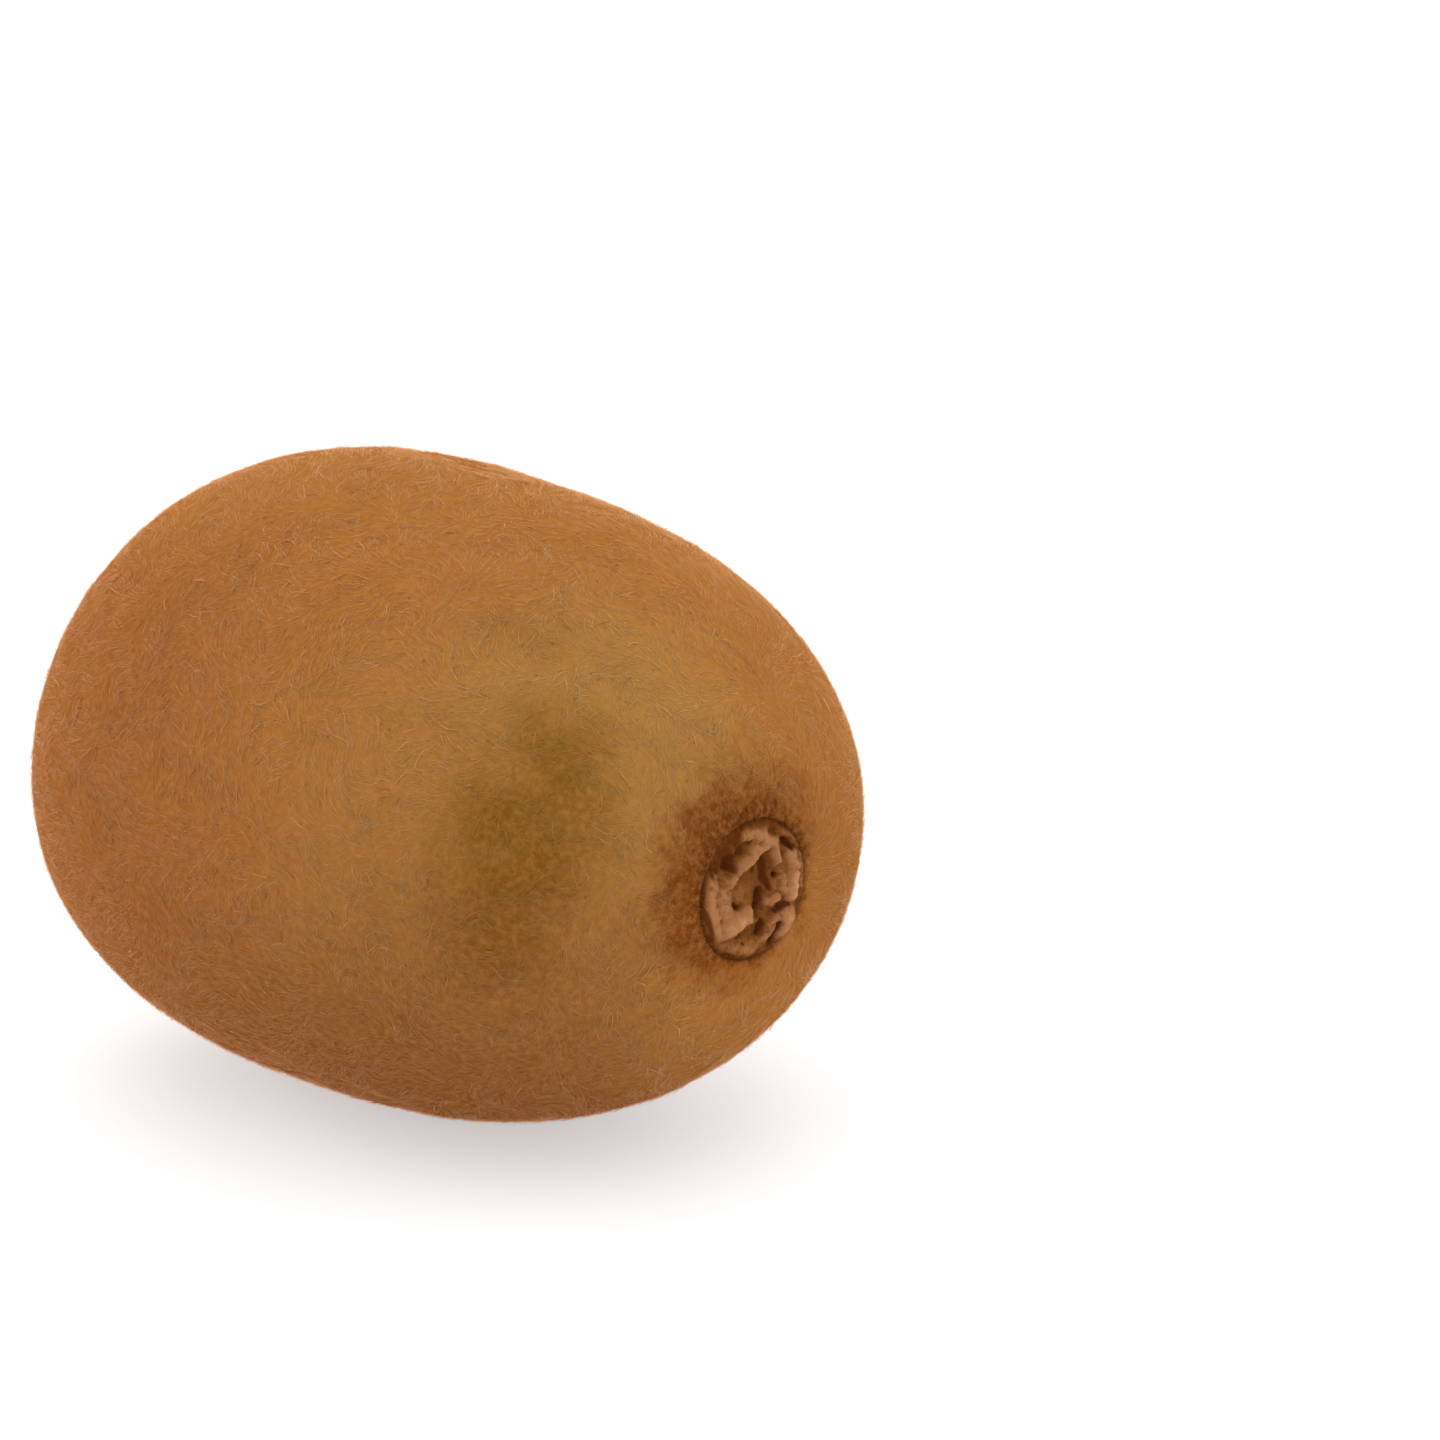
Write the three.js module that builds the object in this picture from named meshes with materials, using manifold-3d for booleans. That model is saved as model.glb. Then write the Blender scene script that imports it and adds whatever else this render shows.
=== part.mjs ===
// A whole kiwi fruit lying on its side: the grown fruit, the dried calyx that is left where it hung from
// its stalk, and the dried styles that are left where the flower was.
// Millimetres, +Z up. +X runs along the fruit to its stem end, and the fruit stands on Z = 0.
import * as THREE from 'three';
import { mergeVertices } from 'three/addons/utils/BufferGeometryUtils.js';
import Module from 'manifold-3d';

const wasm = await Module();
wasm.setup();

// The fruit: a superellipsoid, blunter than an ellipsoid, and slimmer towards its stem end.
const TO_STEM_END = 32.5;
const TO_BLOSSOM_END = 32.8;
const HALF_WIDTH = 26.1;
const HALF_THICKNESS = 23.9;
const STEM_BLUNTNESS = 2.53; // 2 would be an ellipse
const BLOSSOM_BLUNTNESS = 2.8;
const TAPER = 0.048; // share of the girth lost from the middle to the stem end
// Low swells that keep the skin from being exact.
const SWELLS = [
  { wavesAround: 2, wavesAlong: 1, height: 0.16, phase: 0.6 },
  { wavesAround: 3, wavesAlong: 2, height: 0.14, phase: 2.1 },
  { wavesAround: 5, wavesAlong: 3, height: 0.07, phase: 4.0 },
];
const SEGMENTS_AROUND = 64;
const BODY_RINGS = 24;

// How it lies: turned about its length, with the stem end a little down, on a small flat spot.
const ROLL = THREE.MathUtils.degToRad(11.7);
const STEM_END_DOWN = THREE.MathUtils.degToRad(1.2);
const FLAT_SPOT_DEPTH = 0.4;

// The stem end: a shallow basin with a pit in it, and a faint lip round the pit.
const BASIN_RADIUS = 9.5;
const BASIN_DEPTH = 0.7;
const PIT_RADIUS = 5.25; // halfway up the pit's wall
const PIT_WALL = 0.3; // by how much the pit is wider at its top than at its floor
const PIT_DEPTH = 1.3;
const LIP_HEIGHT = 0.14;
const LIP_WIDTH = 1.6;
const GAP = 0.3; // between the calyx or the styles and the fruit

// The blossom end: a low beak with a dimple in its tip, out of which the styles spread.
const BEAK_RADIUS = 5.5;
const BEAK_HEIGHT = 1.3;
const DIMPLE_RADIUS = 2.4;
const DIMPLE_DEPTH = 1.1;

// The calyx: a corky cup that fills the pit, with the dried sepals folded in over it.
const CUP_RADIUS = PIT_RADIUS - PIT_WALL / 2 - GAP;
const CUP_SEGMENTS = 48;
const CUP_FLOOR = 0.7;
const CUP_RIM = 1.15;
const CUP_RIM_WIDTH = 0.55;
const CUP_RIM_WAVE = 0.3;
const SCAR_RADIUS = 1.1;
const SCAR_DEPTH = 0.35;
const CALYX_TURN = -ROLL;
const CALYX_TILT = THREE.MathUtils.degToRad(4);
const CALYX_TILT_TOWARDS = THREE.MathUtils.degToRad(155); // from +Y towards +Z, seen from the stem end
// Each fold of the sepals: its middle (right and up, seen from the stem end), half its length and half its
// width, the way its length runs in degrees from +Y, and how high its back stands above the cup's floor.
const FOLDS = [
  { at: [-3.1, -1.1], half: [2.15, 1.5], turn: 102, height: 1.2 },
  { at: [-0.8, -2.9], half: [1.65, 1.2], turn: 10, height: 1.4 },
  { at: [3.0, -3.1], half: [1.6, 0.9], turn: 45, height: 0.85 },
  { at: [2.2, -1.6], half: [1.35, 0.65], turn: 5, height: 1.05 },
  { at: [4.1, -0.7], half: [1.3, 0.75], turn: 95, height: 1.2 },
  { at: [4.0, 1.2], half: [1.0, 0.65], turn: 110, height: 1.05 },
  { at: [1.0, 3.4], half: [1.95, 1.1], turn: 173, height: 1.25 },
  { at: [2.9, 2.2], half: [1.05, 0.6], turn: 70, height: 1.0 },
  { at: [-0.6, 1.6], half: [1.85, 0.6], turn: 28, height: 1.4 },
  { at: [-1.0, -0.6], half: [1.2, 0.75], turn: 75, height: 0.7 },
  { at: [2.3, -0.2], half: [1.05, 0.75], turn: 88, height: 0.6 },
  { at: [-3.1, 2.3], half: [1.4, 0.85], turn: 52, height: 0.4 },
];
const FOLD_ROOT = 0.5; // how far each fold reaches down into the cup's floor
const FOLD_TAPER = 0.25; // share of its width that it gains at one end and loses at the other

// The styles: dry spikes in rings round a small boss, bent outwards like a worn brush.
const BOSS_RADIUS = 1.7;
const BOSS_HEIGHT = 1.3;
const STYLE_WIDTH = 0.5;
const STYLE_RINGS = [
  { count: 7, radius: 0.5, length: 2.3, lean: 22 },
  { count: 12, radius: 1.0, length: 2.9, lean: 48 },
  { count: 15, radius: 1.3, length: 3.1, lean: 72 },
];
const STYLE_ROOT = 0.7;
const STYLE_BEND = 18; // degrees by which a tip leans further out than its root

const SKIN = new THREE.MeshStandardMaterial({ color: 0xa06a38, roughness: 0.9, metalness: 0 });
const DRIED_SEPAL = new THREE.MeshStandardMaterial({ color: 0xa8744d, roughness: 0.8, metalness: 0 });
const DRIED_STYLE = new THREE.MeshStandardMaterial({ color: 0x4e3320, roughness: 0.85, metalness: 0 });

const smoothstep = THREE.MathUtils.smoothstep;

// A small repeatable random source, so that the styles differ and come out alike each time.
function randomSource(seed) {
  let state = seed;
  return () => {
    state = (state * 16807) % 2147483647;
    return state / 2147483647;
  };
}

function closedGeometry(geometry) {
  geometry.deleteAttribute('normal');
  geometry.deleteAttribute('uv');
  return mergeVertices(geometry, 1e-4);
}

function solidOf(geometry) {
  const closed = closedGeometry(geometry);
  return new wasm.Manifold(
    new wasm.Mesh({
      numProp: 3,
      vertProperties: closed.attributes.position.array,
      triVerts: new Uint32Array(closed.index.array),
    }),
  );
}

function geometryOf(solid) {
  const mesh = solid.getMesh();
  const geometry = new THREE.BufferGeometry();
  geometry.setAttribute('position', new THREE.BufferAttribute(mesh.vertProperties, 3));
  geometry.setIndex(new THREE.BufferAttribute(mesh.triVerts, 1));
  geometry.computeVertexNormals();
  return geometry;
}

function moveEachVertex(geometry, move) {
  const position = geometry.attributes.position;
  const point = new THREE.Vector3();
  for (let i = 0; i < position.count; i++) {
    point.fromBufferAttribute(position, i);
    move(point);
    position.setXYZ(i, point.x, point.y, point.z);
  }
  return geometry;
}

// How far the skin at the stem end lies inside the superellipsoid, at a distance from the fruit's axis.
function stemDip(radius) {
  const basin = BASIN_DEPTH * (1 - smoothstep(radius, 0, BASIN_RADIUS));
  const pit = PIT_DEPTH * (1 - smoothstep(radius, PIT_RADIUS - PIT_WALL / 2, PIT_RADIUS + PIT_WALL / 2));
  const fromLip = (radius - PIT_RADIUS - PIT_WALL) / LIP_WIDTH;
  const lip = LIP_HEIGHT * Math.exp(-fromLip * fromLip * 4);
  return basin + pit - (radius > PIT_RADIUS ? lip : 0);
}

// How far the skin at the blossom end stands outside it.
function blossomRise(radius) {
  const beak = BEAK_HEIGHT * (1 - smoothstep(radius, 0, BEAK_RADIUS));
  const dimple = DIMPLE_DEPTH * (1 - smoothstep(radius, DIMPLE_RADIUS * 0.7, DIMPLE_RADIUS));
  return beak - dimple;
}

// The point of the skin that lies from the fruit's middle in a direction.
function skinPoint(direction) {
  const end = direction.x > 0 ? TO_STEM_END : TO_BLOSSOM_END;
  const bluntness = direction.x > 0 ? STEM_BLUNTNESS : BLOSSOM_BLUNTNESS;
  const along = Math.abs(direction.x) / end;
  const across = Math.hypot(direction.y / HALF_WIDTH, direction.z / HALF_THICKNESS);
  const reach = (along ** bluntness + across ** bluntness) ** (-1 / bluntness);
  const point = direction.clone().multiplyScalar(reach);
  const girth = 1 - (TAPER * point.x) / TO_STEM_END;
  point.y *= girth;
  point.z *= girth;
  const around = Math.atan2(direction.z, direction.y);
  const fromStem = Math.acos(direction.x);
  const sideways = Math.sin(fromStem) ** 2;
  const swell = SWELLS.reduce(
    (sum, { wavesAround, wavesAlong, height, phase }) =>
      sum + height * Math.cos(wavesAround * around + phase) * Math.cos(wavesAlong * fromStem),
    0,
  );
  point.addScaledVector(direction, swell * sideways);
  const radius = Math.hypot(point.y, point.z);
  point.x += direction.x > 0 ? -stemDip(radius) : -blossomRise(radius);
  return point;
}

// The way up when the fruit lies at rest, seen from the fruit's own frame.
const lying = new THREE.Euler(ROLL, STEM_END_DOWN, 0, 'YXZ');
const upInFruit = new THREE.Vector3(0, 0, 1).applyQuaternion(
  new THREE.Quaternion().setFromEuler(lying).invert(),
);

// Presses what lies lowest onto one flat spot.
function pressFlat(geometry) {
  let lowest = Infinity;
  moveEachVertex(geometry, (point) => {
    lowest = Math.min(lowest, point.dot(upInFruit));
  });
  const floor = lowest + FLAT_SPOT_DEPTH;
  return moveEachVertex(geometry, (point) => {
    point.addScaledVector(upInFruit, Math.max(0, floor - point.dot(upInFruit)));
  });
}

// Numbers that lead evenly from one value to another, without the first.
function steps(from, to, count) {
  return Array.from({ length: count }, (_, i) => from + ((to - from) * (i + 1)) / count);
}

// The angles from the stem end at which the rings of the skin lie: close together where it turns sharply.
function ringAngles() {
  const stemRadii = [
    ...steps(0, PIT_RADIUS - PIT_WALL / 2, 3),
    ...steps(PIT_RADIUS - PIT_WALL / 2, PIT_RADIUS + PIT_WALL / 2, 2),
    ...steps(PIT_RADIUS + PIT_WALL / 2, PIT_RADIUS + PIT_WALL + LIP_WIDTH, 4),
    ...steps(PIT_RADIUS + PIT_WALL + LIP_WIDTH, BASIN_RADIUS + 3, 5),
  ];
  const blossomRadii = [
    ...steps(0, DIMPLE_RADIUS * 0.7, 2),
    ...steps(DIMPLE_RADIUS * 0.7, DIMPLE_RADIUS, 2),
    ...steps(DIMPLE_RADIUS, BEAK_RADIUS, 4),
    ...steps(BEAK_RADIUS, 2 * BEAK_RADIUS, 3),
  ];
  const fromStem = stemRadii.map((radius) => Math.atan(radius / ((1 - TAPER) * TO_STEM_END)));
  const fromBlossom = blossomRadii.map((radius) => Math.PI - Math.atan(radius / ((1 + TAPER) * TO_BLOSSOM_END)));
  const body = steps(fromStem.at(-1), fromBlossom.at(-1), BODY_RINGS).slice(0, -1);
  return [0, ...fromStem, ...body, ...fromBlossom.reverse(), Math.PI];
}

function fruitGeometry() {
  const halfCircle = ringAngles().map((angle) => new THREE.Vector2(Math.sin(angle), Math.cos(angle)));
  const sphere = new THREE.LatheGeometry(halfCircle.reverse(), SEGMENTS_AROUND).rotateZ(-Math.PI / 2);
  const skin = moveEachVertex(closedGeometry(sphere), (point) => {
    point.copy(skinPoint(point.clone().normalize()));
  });
  const pressed = pressFlat(skin);
  pressed.computeVertexNormals();
  return pressed;
}

// The corky cup, in its own frame: +X out of the fruit, and its underside at X = 0.
function cupSolid() {
  const inner = CUP_RADIUS - CUP_RIM_WIDTH;
  const profile = [
    [0, 0],
    [CUP_RADIUS - 0.3, 0],
    [CUP_RADIUS, 0.3],
    [CUP_RADIUS, CUP_RIM * 0.7],
    [CUP_RADIUS - CUP_RIM_WIDTH / 2, CUP_RIM],
    [inner, CUP_FLOOR + 0.25],
    [inner - 0.5, CUP_FLOOR],
    [SCAR_RADIUS * 1.3, CUP_FLOOR],
    [SCAR_RADIUS * 0.7, CUP_FLOOR - SCAR_DEPTH],
    [0, CUP_FLOOR - SCAR_DEPTH],
  ].map(([radius, height]) => new THREE.Vector2(radius, height));
  const cup = new THREE.LatheGeometry(profile, CUP_SEGMENTS).rotateZ(-Math.PI / 2);
  return solidOf(
    moveEachVertex(cup, (point) => {
      const radius = Math.hypot(point.y, point.z);
      const around = Math.atan2(point.z, point.y);
      const onRim = point.x > CUP_FLOOR && radius > inner ? 1 : 0;
      point.x += onRim * CUP_RIM_WAVE * Math.sin(5 * around + 1) * Math.sin(2 * around);
    }),
  );
}

// One fold of a dried sepal: a long bean, narrower at one end, with its root in the cup's floor.
function foldSolid({ at, half, turn, height }) {
  const bean = new THREE.SphereGeometry(1, 16, 10);
  moveEachVertex(bean, (point) => {
    const narrowing = 1 - FOLD_TAPER * point.z;
    const thickness = point.x > 0 ? height : FOLD_ROOT;
    point.set(
      point.x * thickness * (1 - 0.3 * point.z * point.z),
      point.y * half[1] * narrowing,
      point.z * half[0],
    );
  });
  bean.rotateX(THREE.MathUtils.degToRad(turn) - Math.PI / 2);
  bean.translate(CUP_FLOOR, at[0], at[1]);
  return solidOf(bean);
}

// The sepals stay inside the cup's outline, as the pit's wall presses them.
function calyxGeometry() {
  const folded = FOLDS.reduce((sum, fold) => sum.add(foldSolid(fold)), cupSolid());
  const outline = new THREE.CylinderGeometry(CUP_RADIUS, CUP_RADIUS, 4 * CUP_RIM, CUP_SEGMENTS);
  return geometryOf(folded.intersect(solidOf(outline.rotateZ(-Math.PI / 2))));
}

// One style, in the frame of the blossom end: +X out of the fruit.
function styleSolid({ radius, length, lean }, around, random) {
  const tall = length * (0.8 + 0.4 * random());
  const spike = new THREE.CylinderGeometry(STYLE_WIDTH * 0.3, STYLE_WIDTH / 2, tall + STYLE_ROOT, 5, 2);
  spike.rotateZ(-Math.PI / 2).translate(tall / 2 - STYLE_ROOT / 2, 0, 0);
  const bend = THREE.MathUtils.degToRad(STYLE_BEND) * (0.5 + random());
  moveEachVertex(spike, (point) => {
    const share = Math.max(0, point.x) / tall;
    point.y += Math.tan(bend) * share * share * tall;
  });
  spike.rotateZ(THREE.MathUtils.degToRad(lean + 12 * (random() - 0.5)));
  spike.translate(BOSS_HEIGHT * 0.6, radius, 0);
  spike.rotateX(around + 0.25 * (random() - 0.5));
  return solidOf(spike);
}

function stylesGeometry() {
  const random = randomSource(7);
  const boss = new THREE.SphereGeometry(1, 20, 10);
  let sum = solidOf(
    moveEachVertex(boss, (point) => {
      point.set((point.x + 1) * BOSS_HEIGHT * 0.5, point.y * BOSS_RADIUS, point.z * BOSS_RADIUS);
    }),
  );
  for (const ring of STYLE_RINGS) {
    for (let i = 0; i < ring.count; i++) {
      sum = sum.add(styleSolid(ring, (2 * Math.PI * i) / ring.count, random));
    }
  }
  return geometryOf(sum);
}

function named(name, geometry, material) {
  const mesh = new THREE.Mesh(geometry, material);
  mesh.name = name;
  return mesh;
}

const fruit = named('fruit', fruitGeometry(), SKIN);

const calyx = named('calyx', calyxGeometry(), DRIED_SEPAL);
calyx.quaternion.setFromAxisAngle(
  new THREE.Vector3(0, -Math.sin(CALYX_TILT_TOWARDS), Math.cos(CALYX_TILT_TOWARDS)),
  CALYX_TILT,
);
const calyxSeat = new THREE.Group();
calyxSeat.position.x = TO_STEM_END - stemDip(0) + GAP + CUP_RADIUS * Math.sin(CALYX_TILT);
calyxSeat.rotation.x = CALYX_TURN;
calyxSeat.add(calyx);

const styles = named('styles', stylesGeometry(), DRIED_STYLE);
styles.position.x = -(TO_BLOSSOM_END + blossomRise(0) + GAP);
styles.rotation.y = Math.PI;

const asItLies = new THREE.Group();
asItLies.rotation.copy(lying);
asItLies.add(fruit, calyxSeat, styles);

// The origin is the middle of the underside of the whole object's box.
const box = new THREE.Box3().setFromObject(asItLies, true);
asItLies.position.set(-(box.min.x + box.max.x) / 2, -(box.min.y + box.max.y) / 2, -box.min.z);

const kiwi = new THREE.Group();
kiwi.add(asItLies);

export default kiwi;
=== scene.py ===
"""A whole kiwi fruit on a pale floor: the skin with its hairs, the dried calyx and the dried styles."""

import math

import bmesh
import bpy
import numpy as np
from mathutils import Matrix, Vector
from mathutils.kdtree import KDTree


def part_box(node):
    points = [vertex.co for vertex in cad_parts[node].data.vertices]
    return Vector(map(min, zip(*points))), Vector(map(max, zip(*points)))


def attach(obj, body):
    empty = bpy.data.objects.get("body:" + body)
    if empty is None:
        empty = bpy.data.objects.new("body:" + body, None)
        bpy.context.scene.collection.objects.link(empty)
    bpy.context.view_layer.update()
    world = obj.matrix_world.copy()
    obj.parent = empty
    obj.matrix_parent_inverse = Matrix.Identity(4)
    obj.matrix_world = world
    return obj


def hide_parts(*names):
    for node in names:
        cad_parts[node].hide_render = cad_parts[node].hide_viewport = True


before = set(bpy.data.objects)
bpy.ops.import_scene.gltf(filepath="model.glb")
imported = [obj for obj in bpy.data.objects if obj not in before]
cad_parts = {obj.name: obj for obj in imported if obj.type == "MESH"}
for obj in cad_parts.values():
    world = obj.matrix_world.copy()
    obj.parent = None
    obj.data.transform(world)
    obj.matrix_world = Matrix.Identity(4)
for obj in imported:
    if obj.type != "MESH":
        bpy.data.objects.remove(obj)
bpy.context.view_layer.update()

MM = 0.001

# The stem end and the blossom end, and the line between them.
STEM_END = (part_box("calyx")[0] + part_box("calyx")[1]) / 2
BLOSSOM_END = (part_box("styles")[0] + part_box("styles")[1]) / 2
LENGTHWISE = (STEM_END - BLOSSOM_END).normalized()

# Places on the skin.
OLIVE_PATCHES = (
    Vector((26.5, -12.9, 32.6)) * MM,
    Vector((25.9, -16.8, 30.9)) * MM,
    Vector((28.0, -16.4, 27.9)) * MM,
    Vector((26.3, -18.5, 26.0)) * MM,
    Vector((26.4, -18.7, 21.8)) * MM,
)
GOLDEN_PATCH = Vector((28.5, -9.0, 36.5)) * MM
LIGHT_CHEEK = Vector((33.5, 0.5, 14.5)) * MM  # where the red of the underside, with its painted shade, fades
FRUIT_MIDDLE = Vector((1.5, 0.0, 23.8)) * MM
HALO_MIDDLE = STEM_END + Vector((0, -1.9, 1.0)) * MM
UPPER_HALO_MIDDLE = STEM_END + Vector((0, -0.2, 3.4)) * MM
BRINK_SHADE_MIDDLE = STEM_END + Vector((0, -0.1, 1.0)) * MM

# How each colour runs over the skin: how far off it starts, how far off it is full, and its full share.
OLIVE_EDGE = (11.6 * MM, 2.4 * MM)
MOTTLE_SHARE = 0.12
GOLDEN_EDGE = (30 * MM, 9 * MM)  # round the olive patches
GOLDEN_SHARE = 0.45
GOLDEN_PATCH_EDGE = (20 * MM, 8 * MM)
GOLDEN_PATCH_SHARE = 0.55
# The underside grows red and darker towards the bottom: partly the skin's own red, partly painted
# shade.
RED_SHADE_HEIGHTS = (42 * MM, 8 * MM)
RED_AND_SHADE_SHARE = 0.8
RED_PATCH_SHARE = 0.25
LIGHT_CHEEK_EDGE = (5 * MM, 17 * MM)
# The far end is reddish and darker: partly the skin's own tone, partly painted shade.
RUDDY_SHADE_PLACES = (16 * MM, -7 * MM)  # along the fruit from its middle
RUDDY_SHADE_HEIGHTS = (49 * MM, 39 * MM)
RUDDY_AND_SHADE_SHARE = 0.8
HALO_EDGE = (13.1 * MM, 9.2 * MM)
HALO_SHARE = 0.92
UPPER_HALO_EDGE = (12.2 * MM, 9 * MM)
UPPER_HALO_SHARE = 0.45
# A dark ring in and round the calyx pit: painted shade.
BRINK_SHADE_EDGE = (7.8 * MM, 6.2 * MM)
BRINK_SHADE_SHARE = 0.5

# The skin.
SKIN_LEVELS = 2
RELIEF = 0.06 * MM
RELIEF_START = 0.5 * MM  # the height over the floor from which it grows, and how fast
RELIEF_RISE = 2 * MM
# Where the fruit swells or sinks a little: the middle of the place, how far it reaches, and how much.
SWELLS = (
    (Vector((-15.0, -10.0, 44.0)) * MM, 24 * MM, 0.22 * MM),
    (Vector((14.0, 13.0, 43.0)) * MM, 26 * MM, -0.15 * MM),
    (Vector((24.0, -11.0, 7.5)) * MM, 22 * MM, -0.25 * MM),
)
CONTACT_HEIGHT = 0.25 * MM  # hairs with their roots below this are pressed away

# The calyx: the middle of its underside, and the way out of the fruit.
CALYX_FOOT = Vector((32.66, 0.05, 23.10)) * MM
CALYX_OUT = Vector((0.998, -0.063, 0.009))
CALYX_CELLS = 170  # along each side of its grid

# The shape of the calyx, in millimetres: its rim, its underside, the brink from which it falls to its
# rim, and the bare cup between its folds.
CALYX_RIM_RADIUS = 5.95
CALYX_RIM_HEIGHT = 0.3
CALYX_UNDERSIDE = -0.1
CALYX_TAPER = 0.9  # how wide the underside is, as a share of the rim
CALYX_BRINK = 4.95
CALYX_BRINK_WIDTH = 0.85
CUP_HEIGHT = 0.6
CUP_DISH = 0.25
CUP_PALENESS = 0.25
FOLD_SPREAD = 1.5
HOLLOW_SPREAD = 1.3
RIB_HEIGHT = 0.06
CRUMPLE_HEIGHT = 0.05

# The folds of the dried sepals, seen from outside: where each starts and ends, right and up of the
# middle, how wide it is, how high it stands over the calyx's foot, and how pale it is: its tan and
# painted highlight. Millimetres.
FOLDS = (
    ((-4.1, 2.9), (-1.2, 4.5), 1.0, 0.95, 0.05),
    ((-4.35, 1.3), (-4.45, -0.9), 0.85, 1.45, 0.6),
    ((-4.4, -0.9), (-4.0, -2.4), 0.9, 1.55, 0.66),
    ((-3.1, 0.1), (-2.9, -1.3), 0.95, 1.35, 0.58),
    ((-1.2, 0.3), (-1.0, -0.8), 0.8, 1.05, 0.4),
    ((-2.9, -2.45), (-2.0, -2.2), 0.75, 1.7, 0.8),
    ((-2.0, -2.2), (-0.9, -1.8), 0.7, 1.8, 0.9),
    ((-2.5, 1.05), (-1.3, 2.05), 0.5, 1.5, 0.6),
    ((-1.3, 2.05), (-0.2, 2.9), 0.45, 1.7, 0.72),
    ((-0.2, 2.9), (1.1, 3.25), 0.45, 1.5, 0.7),
    ((-0.6, 4.35), (0.7, 4.0), 0.6, 1.35, 0.64),
    ((0.7, 3.9), (1.8, 3.2), 0.5, 1.45, 0.7),
    ((1.9, 2.9), (2.15, 1.9), 0.42, 1.5, 0.74),
    ((3.5, 2.0), (3.95, 1.1), 0.5, 1.45, 0.7),
    ((3.75, 0.5), (3.45, -1.2), 0.42, 1.7, 0.97),
    ((2.9, 0.2), (3.0, -0.6), 0.5, 1.3, 0.58),
    ((2.2, -1.05), (1.9, -1.1), 0.42, 1.4, 0.8),
    ((0.85, -1.0), (1.2, -1.05), 0.32, 1.1, 0.6),
    ((2.0, 0.1), (1.9, -0.3), 0.6, 1.05, 0.38),
    ((2.6, 1.5), (2.9, 1.1), 0.45, 1.15, 0.42),
    ((3.1, 3.9), (4.3, 2.7), 0.38, 1.15, 0.45),
    ((4.5, 1.8), (4.6, -0.9), 0.4, 1.15, 0.45),
    ((1.3, -2.9), (2.1, -2.45), 0.5, 1.35, 0.45),
    ((0.6, -4.0), (1.7, -3.3), 0.45, 1.2, 0.52),
    ((-3.3, -3.5), (-1.7, -4.1), 0.6, 1.1, 0.42),
    ((-1.7, -4.1), (0.2, -4.2), 0.6, 1.1, 0.46),
    ((3.4, -2.6), (3.3, -3.8), 0.7, 1.25, 0.85),
)
# The hollows between them: where each starts and ends, how wide it is and how deep it goes.
HOLLOWS = (
    ((0.78, -0.3), (0.6, -1.7), 0.42, 0.6),
    ((1.0, 1.9), (1.3, 0.5), 0.5, 0.12),
    ((1.45, 0.15), (1.5, -0.15), 0.3, 0.25),
    ((-2.6, 2.6), (-2.1, 2.1), 0.55, 0.4),
    ((-4.5, 2.6), (-4.1, 1.9), 0.4, 0.2),
    ((-1.64, 3.15), (-1.64, 3.0), 0.26, 0.2),
    ((-0.36, 3.75), (-0.36, 3.6), 0.22, 0.15),
    ((3.0, 3.25), (3.75, 2.5), 0.24, 0.3),
    ((2.2, 0.8), (2.4, 0.75), 0.22, 0.25),
    ((2.0, -2.0), (3.6, -1.85), 0.22, 0.25),
    ((0.8, -2.6), (0.4, -3.35), 0.26, 0.3),
    ((2.7, -3.15), (1.8, -4.3), 0.28, 0.3),
    ((-1.85, -0.8), (-1.7, -1.1), 0.24, 0.2),
    ((-1.15, -3.8), (-1.1, -3.85), 0.2, 0.1),
    ((-3.9, -3.85), (-2.75, -4.4), 0.25, 0.2),
    ((-2.75, -4.4), (-1.6, -5.0), 0.25, 0.2),
    ((-4.95, 2.5), (-5.15, 0.0), 0.28, 0.15),
    ((-5.15, 0.0), (-4.2, -3.1), 0.25, 0.15),
)

# The dried styles: the foot of their boss, the way out of the fruit, and how many stand in each ring,
# its radius, and how long they are and how far they lean, in degrees.
STYLES_FOOT = Vector((-31.76, 0.05, 24.45)) * MM
STYLES_OUT = Vector((-0.9998, 0.0, 0.0209))
BOSS_RADIUS = 1.7 * MM
BOSS_HEIGHT = 1.2 * MM
STYLE_WIDTH = 0.34 * MM
STYLE_FLATNESS = 0.8
STYLE_DEPTH = 0.35 * MM  # how deep the styles stand in the boss
STYLE_SWAY = 0.13 * MM
STYLE_RINGS = (
    (7, 0.5 * MM, 2.4 * MM, 20),
    (12, 1.0 * MM, 2.9 * MM, 44),
    (15, 1.3 * MM, 3.1 * MM, 66),
)

# The hairs of the skin. A spread is a standard deviation, and a range is a range of shares.
FINE_HAIRS = 144000
FINE_PIECES = 3
LONG_HAIRS = 19000
SPARE_ROOTS = 1.06  # more roots are strewn than there are hairs, because some fall on bare places
ROOT_DEPTH = 0.04 * MM
HAIR_LENGTH = 0.95 * MM
HAIR_LENGTH_RANGE = (0.6, 1.3)
LONG_HAIR_LENGTH = 1.6 * MM
LONG_HAIR_LENGTH_RANGE = (0.6, 1.4)
LONG_HAIR_CURL_RANGE = (0.5, 0.95)
HAIR_WIDTH = 0.048 * MM
HAIR_WIDTH_RANGE = (0.7, 1.3)
HAIR_FLATNESS = 0.4
HAIR_TURN_SPREAD = math.radians(16)
HAIR_LIFT = math.radians(8)
HAIR_LIFT_SPREAD = math.radians(5)
LONG_HAIR_LIFT = math.radians(9)  # over the lift that every hair has
HAIR_TINT = 0.12
HAIR_TINT_SPREAD = 0.06
LONG_HAIR_TINT = 0.28  # over the tint that every hair has
TUFT_COUNT = 9000
TUFT_TURN_SPREAD = math.radians(20)
TUFT_TINT_SPREAD = 0.02
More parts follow.
